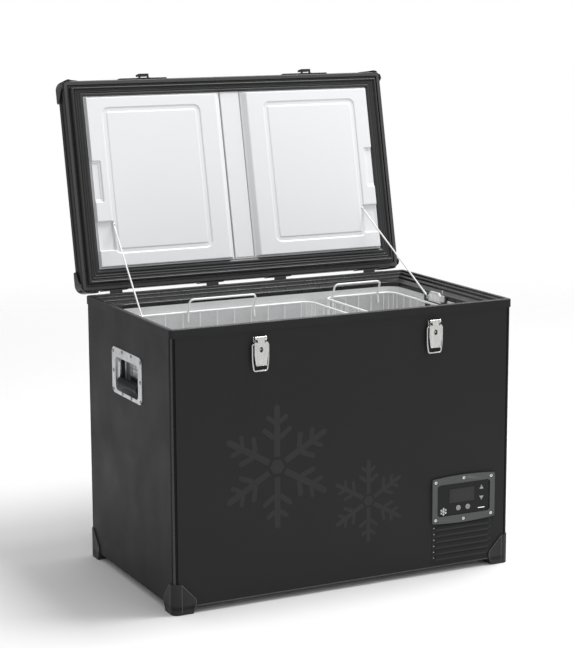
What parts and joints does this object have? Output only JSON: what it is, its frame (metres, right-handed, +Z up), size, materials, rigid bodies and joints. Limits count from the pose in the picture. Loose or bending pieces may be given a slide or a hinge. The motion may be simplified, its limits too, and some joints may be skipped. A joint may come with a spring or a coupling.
{
  "type": "compressor cooler fridge",
  "caption": "Chest cooler with a compressor: dark coated steel cabinet, silver tub, foam lid on two stay cables, toggle latches, swing carrying handles, control panel and wire baskets.",
  "frame": {"origin": "centre of the rectangle of the four fixing holes in the undersides of the foot corners, on the floor under the middle of the cabinet", "axes": "+Z up, +Y to the back where the lid's hinges are, +X to the user's right where the controls are"},
  "size_m": [0.808, 0.6416, 1.0647],
  "materials": {
    "front_coating": "fine textured dark charcoal powder coat",
    "side_coating": "fine textured dark grey powder coat",
    "black_plastic": "fine grained moulded black plastic",
    "rim_plastic": "satin dark grey moulded plastic with long ridges",
    "gasket_rubber": "soft matt black seal",
    "liner_white": "semi gloss white moulded plastic",
    "tub_silver": "fine stucco embossed silver sheet",
    "foam": "rigid foam",
    "copper": "drawn copper tube",
    "compressor_black": "gloss black enamel",
    "rubber_black": "matt black rubber",
    "bright_fins": "bare aluminium fins",
    "fan_plastic": "black moulded plastic",
    "board_green": "coated circuit board and its housing",
    "gunmetal": "satin gunmetal paint with fine flake",
    "fascia_black": "gloss black overlay",
    "display_dark": "dark display cover",
    "key_grey": "grey keys",
    "screw_steel": "bright screw heads",
    "grille_black": "textured black pressed louvres",
    "inlet_black": "black moulded plastic",
    "white_plastic": "white moulded plastic",
    "latch_steel": "polished stainless pressings and wire",
    "galvanised": "galvanised pressed steel",
    "handle_steel": "bright plated rod",
    "grip_rubber": "ribbed black rubber grip",
    "hinge_black": "black coated steel",
    "bracket_black": "black plate with a bright screw",
    "cable_white": "white sleeved wire rope",
    "basket_wire": "white plastic coated wire"
  },
  "bodies": {
    "cabinet": {"front_panel": "front_coating", "left_panel": "side_coating", "right_panel": "side_coating", "back_panel": "front_coating", "base_pan": "grille_black", "corner_posts": "black_plastic", "foot_corners": "black_plastic", "top_rim": "rim_plastic", "tub": "tub_silver", "insulation": "foam", "evaporator": "copper", "compressor": "compressor_black", "compressor_mounts": "rubber_black", "condenser": "bright_fins", "fan_shroud": "fan_plastic", "electronics_module": "board_green", "pipework": "copper", "control_bezel": "gunmetal", "control_fascia": "fascia_black", "control_box": "board_green", "display_window": "display_dark", "bezel_screws": "screw_steel", "front_grille": "grille_black", "back_grille": "grille_black", "power_inlet": "inlet_black", "drain_spout": "white_plastic", "latch_base_left": "latch_steel", "latch_base_right": "latch_steel", "handle_dish_left": "galvanised", "handle_dish_right": "galvanised", "cabinet_hinge_leaves": "hinge_black", "hinge_pins": "hinge_black", "stay_brackets": "bracket_black", "stay_cables": "cable_white", "lamp_housing": "white_plastic"},
    "lid": {"lid_frame": "rim_plastic", "lid_skin": "front_coating", "lid_core": "foam", "lid_liner": "liner_white", "lid_gasket": "gasket_rubber", "lid_corner_caps": "black_plastic", "lid_strikes": "black_plastic", "lid_hinge_leaves": "hinge_black"},
    "fan": {"fan_rotor": "fan_plastic"},
    "lever_left": {"latch_lever_left": "latch_steel"},
    "lever_right": {"latch_lever_right": "latch_steel"},
    "bail_left": {"latch_bail_left": "latch_steel"},
    "bail_right": {"latch_bail_right": "latch_steel"},
    "carry_left": {"carry_bail_left": "handle_steel", "carry_grip_left": "grip_rubber"},
    "carry_right": {"carry_bail_right": "handle_steel", "carry_grip_right": "grip_rubber"},
    "basket_large": {"large_basket": "basket_wire"},
    "basket_small": {"small_basket": "basket_wire"},
    "button_power": {"power_key": "key_grey"},
    "button_set": {"set_key": "key_grey"},
    "button_up": {"up_key": "key_grey"},
    "button_down": {"down_key": "key_grey"},
    "plunger": {"lid_switch": "screw_steel"},
    "plug": {"drain_plug": "rubber_black"}
  },
  "joints": [
    {"name": "lid_hinge", "type": "hinge", "parent": "cabinet", "child": "lid", "pos_m": [0, 0.246, 0.586], "axis": [1, 0, 0], "range_deg": [0, 102.2], "deforming": ["stay_cables"]},
    {"name": "lever_left_hinge", "type": "hinge", "parent": "cabinet", "child": "lever_left", "pos_m": [-0.205, -0.241, 0.56], "axis": [1, 0, 0], "range_deg": [-150, 0]},
    {"name": "bail_left_pivot", "type": "hinge", "parent": "lever_left", "child": "bail_left", "pos_m": [-0.205, -0.2405, 0.548], "axis": [-1, 0, 0], "range_deg": [0, 181.5]},
    {"name": "lever_right_hinge", "type": "hinge", "parent": "cabinet", "child": "lever_right", "pos_m": [0.205, -0.241, 0.56], "axis": [1, 0, 0], "range_deg": [-150, 0]},
    {"name": "bail_right_pivot", "type": "hinge", "parent": "lever_right", "child": "bail_right", "pos_m": [0.205, -0.2405, 0.548], "axis": [-1, 0, 0], "range_deg": [0, 181.5]},
    {"name": "carry_left_hinge", "type": "hinge", "parent": "cabinet", "child": "carry_left", "pos_m": [-0.394, 0, 0.477], "axis": [0, 1, 0], "range_deg": [0, 90]},
    {"name": "carry_right_hinge", "type": "hinge", "parent": "cabinet", "child": "carry_right", "pos_m": [0.394, 0, 0.477], "axis": [0, -1, 0], "range_deg": [0, 90]},
    {"name": "large_basket_lift", "type": "slide", "parent": "cabinet", "child": "basket_large", "axis": [0, 0, -1], "range_m": [-0.4, 0]},
    {"name": "small_basket_lift", "type": "slide", "parent": "cabinet", "child": "basket_small", "axis": [0, 0, -1], "range_m": [-0.4, 0]},
    {"name": "power_key_press", "type": "slide", "parent": "cabinet", "child": "button_power", "axis": [0, 1, 0], "range_m": [0, 0.0008], "stiffness_N_per_m": 600, "springref_m": -0.0005},
    {"name": "set_key_press", "type": "slide", "parent": "cabinet", "child": "button_set", "axis": [0, 1, 0], "range_m": [0, 0.0008], "stiffness_N_per_m": 600, "springref_m": -0.0005},
    {"name": "up_key_press", "type": "slide", "parent": "cabinet", "child": "button_up", "axis": [0, 1, 0], "range_m": [0, 0.0008], "stiffness_N_per_m": 600, "springref_m": -0.0005},
    {"name": "down_key_press", "type": "slide", "parent": "cabinet", "child": "button_down", "axis": [0, 1, 0], "range_m": [0, 0.0008], "stiffness_N_per_m": 600, "springref_m": -0.0005},
    {"name": "lid_switch_press", "type": "slide", "parent": "cabinet", "child": "plunger", "axis": [0, 0, -1], "range_m": [0, 0.003], "stiffness_N_per_m": 300, "springref_m": -0.001},
    {"name": "drain_plug_pull", "type": "slide", "parent": "cabinet", "child": "plug", "axis": [0, 1, 0], "range_m": [0, 0.03]},
    {"name": "fan_spin", "type": "hinge", "parent": "cabinet", "child": "fan", "pos_m": [0.295, -0.142, 0.064], "axis": [0, 1, 0], "continuous": true}
  ]
}
